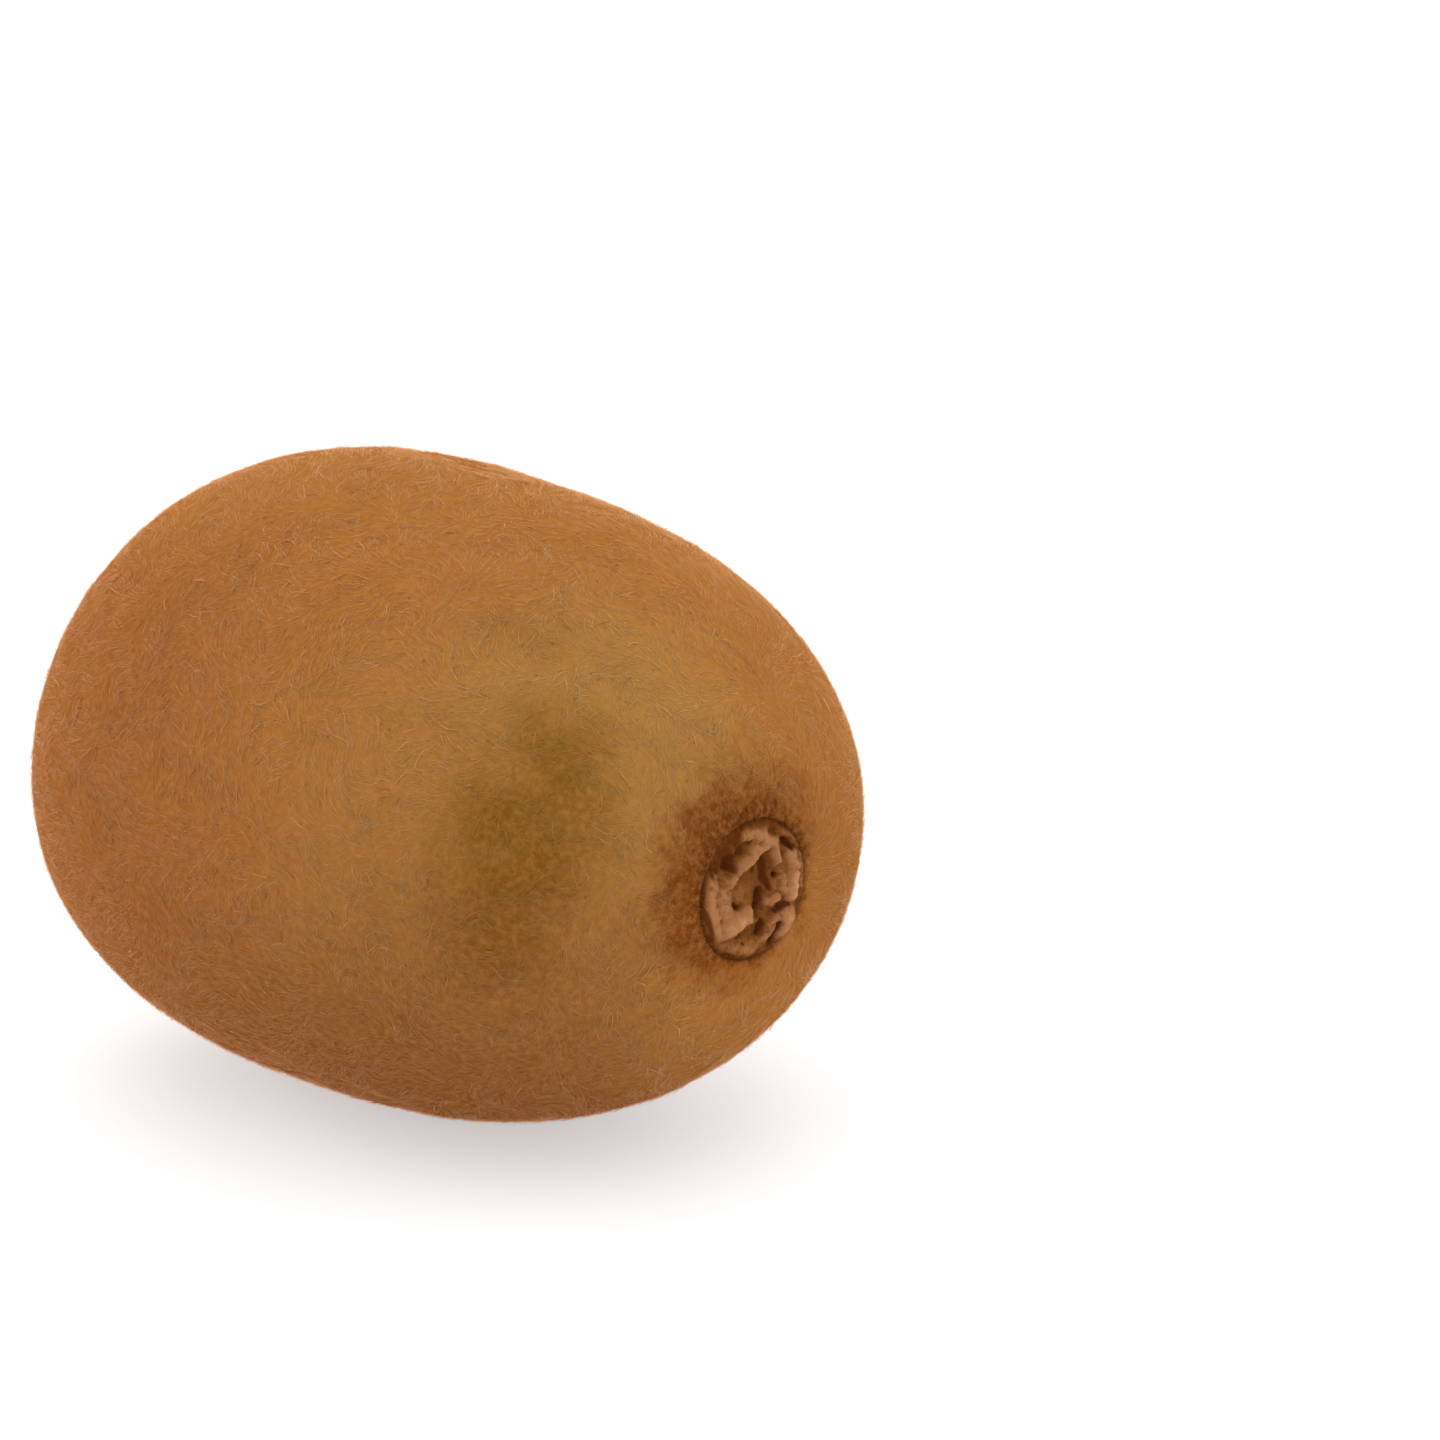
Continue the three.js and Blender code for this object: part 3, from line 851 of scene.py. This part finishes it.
def wisps(skin, material):
    """The sparse curly wisps that lie over the other hairs, most of them pale and some dark."""
    random = np.random.default_rng(WISP_SEED)
    roots, normals = strewn_roots(skin, WISPS, random)
    from_stem = np.linalg.norm(roots - np.array(STEM_END), axis=1)
    from_blossom = np.linalg.norm(roots - np.array(BLOSSOM_END), axis=1)
    kept = (from_stem > WISP_STEM_RADIUS) & (from_blossom > WISP_BLOSSOM_RADIUS)
    kept &= roots[:, 2] > 3 * CONTACT_HEIGHT
    roots, normals = roots[kept], normals[kept]
    count = len(roots)
    flow, across, turn = lie_of_the_hairs(roots, normals)
    turn = turn + random.normal(0, WISP_TURN_SPREAD, count)
    lift = WISP_LIFT + np.abs(random.normal(0, WISP_LIFT_SPREAD, count))
    pace, phase, amount = waves_of(random, count, WISP_SWAY)
    lengths = WISP_LENGTH * random.uniform(*WISP_LENGTH_RANGE, count)
    widths = WISP_WIDTH * random.uniform(*HAIR_WIDTH_RANGE, count)
    curls = np.sin(lift) * random.uniform(*WISP_CURL_RANGE, count)
    pale = random.uniform(size=count) < PALE_WISP_SHARE
    mesh = grown_hairs(
        "wisps",
        roots - normals * ROOT_DEPTH,
        normals,
        leaning(flow, across, turn, normals, lift),
        lengths,
        widths,
        curls,
        np.where(pale, PALE_WISP_TINT, DARK_WISP_TINT),
        hair_template(6),
        (pace, phase, amount * [1, WISP_FLATNESS]),
    )
    add_piece("wisps", mesh, material, smooth=False)


def along_stroke(places, start, end, width):
    """How far each place lies from a stroke, in widths of it."""
    start, span = np.array(start), np.array(end) - np.array(start)
    share = np.clip((places - start) @ span / (span @ span), 0, 1)
    return np.linalg.norm(places - start - share[:, None] * span, axis=1) / width


def creases(places, size, seed):
    """Sharp wrinkles: 1 on their crests, and 0 or less far from them."""
    return 1 - 1.6 * np.abs(soft_waves(places, size, seed))


def smooth_step(share):
    return share * share * (3 - 2 * share)


def folded_sepals(places):
    """The height of the dried sepals at each place, how pale they are, with painted highlight on the
    raised folds, and how far it lies inside the hollows, for painted shade.

    Places and heights are in millimetres.
    """
    flat = np.pad(places, ((0, 0), (0, 1)))
    warp = np.stack([soft_waves(flat, 0.9, 41), soft_waves(flat, 0.9, 42)], 1) * 0.1
    warp += np.stack([soft_waves(flat, 0.35, 43), soft_waves(flat, 0.35, 44)], 1) * 0.03
    warped = places + warp
    from_middle = np.linalg.norm(places, axis=1)
    cup = CUP_HEIGHT + CUP_DISH * np.clip(from_middle / 5, 0, 1) ** 2
    height, pale = cup.copy(), np.full(len(places), CUP_PALENESS)
    for start, end, width, top, paleness in FOLDS:
        away = np.clip(along_stroke(warped, start, end, width * FOLD_SPREAD), 0, 1)
        bump = cup + (top - cup) * (1 - away**2) ** 1.5
        over = smooth_step(np.clip((bump - height) / 0.35 + 0.5, 0, 1)) * (away < 1)
        # Each fold is palest along its raised middle: its tan, with painted highlight.
        pale += (paleness * (1 - away**2 * 0.5) - pale) * over * (1 - away**4)
        height += (bump - height) * over
    # How far each place lies inside the hollows, which the material darkens as painted shade.
    hollow_shade = np.zeros(len(places))
    for start, end, width, depth in HOLLOWS:
        away = np.clip(along_stroke(warped, start, end, width * HOLLOW_SPREAD), 0, 1)
        inside = (1 - away**2) ** 2
        height -= depth * inside
        hollow_shade = np.maximum(hollow_shade, inside)
    # Noise round a ring, which changes little outwards, makes ribs that run out from the middle.
    outwards = places / np.maximum(from_middle, 0.3)[:, None]
    spokes = np.column_stack([outwards * 2.2, from_middle * 0.3])
    ribs = creases(spokes, 0.3, 48) * 0.6 + creases(spokes, 0.12, 51) * 0.4
    ribs *= np.clip(from_middle / 2.5, 0, 1)
    crumple = creases(flat, 0.6, 45) * 0.6 + creases(flat, 0.28, 46) * 0.4
    height += RIB_HEIGHT * ribs + CRUMPLE_HEIGHT * crumple
    # The crests of the ribs and wrinkles are paler: painted highlight.
    pale += 0.1 * ribs + 0.06 * crumple
    bearing = np.arctan2(places[:, 1], places[:, 0])
    brink = CALYX_BRINK + 0.2 * np.cos(bearing - math.radians(150))
    around = np.column_stack([np.cos(bearing), np.sin(bearing), np.zeros(len(places))])
    brink += 0.16 * soft_waves(around, 0.5, 49) + 0.08 * soft_waves(around, 0.15, 50)
    edge = smooth_step(np.clip((from_middle - brink) / CALYX_BRINK_WIDTH, 0, 1))
    height += (CALYX_RIM_HEIGHT - height) * edge
    return height, pale, hollow_shade


def calyx_mesh():
    """A closed disc whose upper side is pressed into the folded sepals."""
    shape = bmesh.new()
    bmesh.ops.create_grid(shape, x_segments=CALYX_CELLS, y_segments=CALYX_CELLS, size=1)
    rim = [edge for edge in shape.edges if edge.is_boundary]
    wall = bmesh.ops.extrude_edge_only(shape, edges=rim)["geom"]
    foot = [item for item in wall if isinstance(item, bmesh.types.BMVert)]
    bmesh.ops.translate(shape, verts=foot, vec=(0, 0, -1))
    put_in_order(shape)
    bmesh.ops.holes_fill(shape, edges=[edge for edge in shape.edges if edge.is_boundary])
    bmesh.ops.recalc_face_normals(shape, faces=shape.faces)
    mesh = bpy.data.meshes.new("calyx_dried")
    shape.to_mesh(mesh)
    shape.free()

    square = vectors(mesh.vertices, "co")
    side, up, level = square.T
    disc = np.stack([side * np.sqrt(1 - up**2 / 2), up * np.sqrt(1 - side**2 / 2)], 1)
    places = disc * CALYX_RIM_RADIUS
    height, pale, hollow_shade = folded_sepals(places)
    in_foot = level < -0.5
    height[in_foot] = CALYX_UNDERSIDE
    places *= np.where(in_foot, CALYX_TAPER, 1)[:, None]
    right = Vector((0, 0, 1)).cross(CALYX_OUT).normalized()
    axes = np.array([right, CALYX_OUT.cross(right), CALYX_OUT])
    placed = np.array(CALYX_FOOT) + np.column_stack([places, height]) * MM @ axes
    mesh.vertices.foreach_set("co", placed.ravel())
    mesh.update()
    paint(mesh, "pale", pale)
    paint(mesh, "hollow_shade", hollow_shade)
    return mesh


def blossom_axes():
    """Right, up and out at the blossom end."""
    out = np.array(STYLES_OUT)
    right = unit(np.cross([[0, 0, 1]], out[None]))[0]
    return right, np.cross(out, right), out


def waves_of(random, count, amount):
    """The pace, phase and sideways reach of each of a number of wavy hairs."""
    return (
        random.uniform(3, 7, count),
        random.uniform(0, 2 * math.pi, count),
        random.normal(0, amount, (count, 2)),
    )


def styles_mesh():
    """The boss and the dry, wavy styles that stand round it in rings."""
    random = np.random.default_rng(STYLE_SEED)
    right, up, out = blossom_axes()
    rings = np.concatenate([np.full((ring[0], 3), ring[1:]) for ring in STYLE_RINGS])
    count = len(rings)
    turns = np.concatenate(
        [np.arange(ring[0]) / ring[0] + 0.13 * index for index, ring in enumerate(STYLE_RINGS)]
    )
    around = 2 * math.pi * turns + random.normal(0, 0.14, count)
    sideways = np.cos(around)[:, None] * right + np.sin(around)[:, None] * up
    ring_radius, length, lean = rings.T
    radius = ring_radius * random.uniform(0.8, 1.2, count)
    level = BOSS_HEIGHT * np.sqrt(np.maximum(1 - (radius / BOSS_RADIUS) ** 2, 0)) - STYLE_DEPTH
    roots = np.array(STYLES_FOOT) + sideways * radius[:, None] + out * level[:, None]
    lean = np.radians(lean + random.normal(0, 8, count))
    directions = sideways * np.sin(lean)[:, None] + out * np.cos(lean)[:, None]
    directions = unit(directions + random.normal(0, 0.1, (count, 3)))
    mesh = grown_hairs(
        "styles_dried",
        roots,
        unit(out + 0.3 * sideways),
        directions,
        length * random.uniform(0.75, 1.08, count),
        STYLE_WIDTH * random.uniform(0.7, 1.15, count),
        random.normal(0.12, 0.14, count),
        random.uniform(0, 1, count),
        hair_template(7, sides=5, tip=0.4, flatness=STYLE_FLATNESS),
        waves_of(random, count, STYLE_SWAY),
    )
    shape = bmesh.new()
    shape.from_mesh(mesh)
    tint = shape.verts.layers.float["tint"]
    along = shape.verts.layers.float["along"]
    boss = bmesh.ops.create_icosphere(shape, subdivisions=4, radius=1)["verts"]
    places = np.array([vertex.co for vertex in boss])
    swell = 1 + 0.1 * soft_waves(places, 0.35, 31) + 0.05 * soft_waves(places, 0.14, 32)
    reach = places * swell[:, None] * [BOSS_RADIUS, BOSS_RADIUS, BOSS_HEIGHT]
    placed = np.array(STYLES_FOOT) + reach @ np.array([right, up, out])
    for vertex, place in zip(boss, placed):
        vertex.co = place
        vertex[tint] = 0.3
        vertex[along] = 0.1
    shape.to_mesh(mesh)
    shape.free()
    return mesh


def bristles_mesh():
    """The stiff hairs round the dried styles."""
    random = np.random.default_rng(BRISTLE_SEED)
    right, up, out = blossom_axes()
    around = random.uniform(0, 2 * math.pi, BRISTLES)
    spread = random.uniform(0, 1, BRISTLES) ** 0.7
    sideways = np.cos(around)[:, None] * right + np.sin(around)[:, None] * up
    foot = np.array(STYLES_FOOT) + out * BRISTLE_FOOT
    roots = foot + sideways * (spread * BRISTLE_SPREAD)[:, None]
    lean = BRISTLE_LEAN + BRISTLE_OUTER_LEAN * spread
    lean = lean + random.normal(0, BRISTLE_LEAN_SPREAD, BRISTLES)
    directions = sideways * np.sin(lean)[:, None] + out * np.cos(lean)[:, None]
    directions = unit(directions + random.normal(0, 0.12, (BRISTLES, 3)))
    normals = unit(out + random.normal(0, 0.5, (BRISTLES, 3)))
    return grown_hairs(
        "bristles_dried",
        roots,
        normals,
        directions,
        BRISTLE_LENGTH * random.uniform(0.45, 1.1, BRISTLES),
        BRISTLE_WIDTH * random.uniform(0.6, 1.2, BRISTLES),
        random.normal(0.15, 0.2, BRISTLES),
        random.uniform(0, 1, BRISTLES),
        hair_template(5),
        waves_of(random, BRISTLES, BRISTLE_SWAY),
    )


# ---------------------------------------------------------------- stage


def add_floor():
    shape = bmesh.new()
    bmesh.ops.create_grid(shape, x_segments=8, y_segments=8, size=20)
    mesh = bpy.data.meshes.new("floor")
    shape.to_mesh(mesh)
    shape.free()
    mesh.materials.append(floor_finish())
    floor = bpy.data.objects.new("floor", mesh)
    bpy.context.scene.collection.objects.link(floor)


def add_light(name, azimuth, elevation, size, power):
    """A round area light that faces the fruit's middle."""
    data = bpy.data.lights.new(name, "AREA")
    data.shape = "DISK"
    data.size = size
    data.energy = power
    light = bpy.data.objects.new(name, data)
    azimuth, elevation = math.radians(azimuth), math.radians(elevation)
    away = Vector(
        (
            math.sin(azimuth) * math.cos(elevation),
            -math.cos(azimuth) * math.cos(elevation),
            math.sin(elevation),
        )
    )
    light.location = FRUIT_MIDDLE + away * LIGHT_DISTANCE
    light.rotation_euler = away.to_track_quat("Z", "Y").to_euler()
    bpy.context.scene.collection.objects.link(light)


def add_world():
    world = bpy.data.worlds.new("studio")
    world.use_nodes = True
    background = world.node_tree.nodes["Background"]
    background.inputs["Color"].default_value = (1, 1, 1, 1)
    background.inputs["Strength"].default_value = 1.0
    bpy.context.scene.world = world


def add_camera():
    right = Vector((math.cos(CAMERA_AZIMUTH), math.sin(CAMERA_AZIMUTH), 0))
    toward = Vector((right.y, -right.x, 0))
    up = Vector((0, 0, 1))
    back = toward * math.cos(CAMERA_ELEVATION) + up * math.sin(CAMERA_ELEVATION)
    camera_up = up * math.cos(CAMERA_ELEVATION) - toward * math.sin(CAMERA_ELEVATION)
    data = bpy.data.cameras.new("camera")
    data.sensor_width = 36
    data.lens = CAMERA_LENS
    data.clip_start = 0.01
    camera = bpy.data.objects.new("camera", data)
    place = FRUIT_MIDDLE + right * ASIDE + camera_up * BELOW + back * CAMERA_DISTANCE
    turned = Matrix((right, camera_up, back)).transposed().to_4x4()
    camera.matrix_world = Matrix.Translation(place) @ turned
    bpy.context.scene.collection.objects.link(camera)
    bpy.context.scene.camera = camera


add_camera()
add_floor()
add_world()
for light in LIGHTS:
    add_light(*light)
bpy.context.scene.view_settings.view_transform = "Standard"

skin = skin_mesh()
hair = hair_finish()
hairs(skin, hair)
wisps(skin, hair)
add_piece("fruit_skin", skin, skin_finish(), "fruit")
add_piece("calyx_dried", calyx_mesh(), calyx_finish(), "calyx")
add_piece("styles_dried", styles_mesh(), style_finish(), "styles")
add_piece("bristles_dried", bristles_mesh(), bristle_finish())
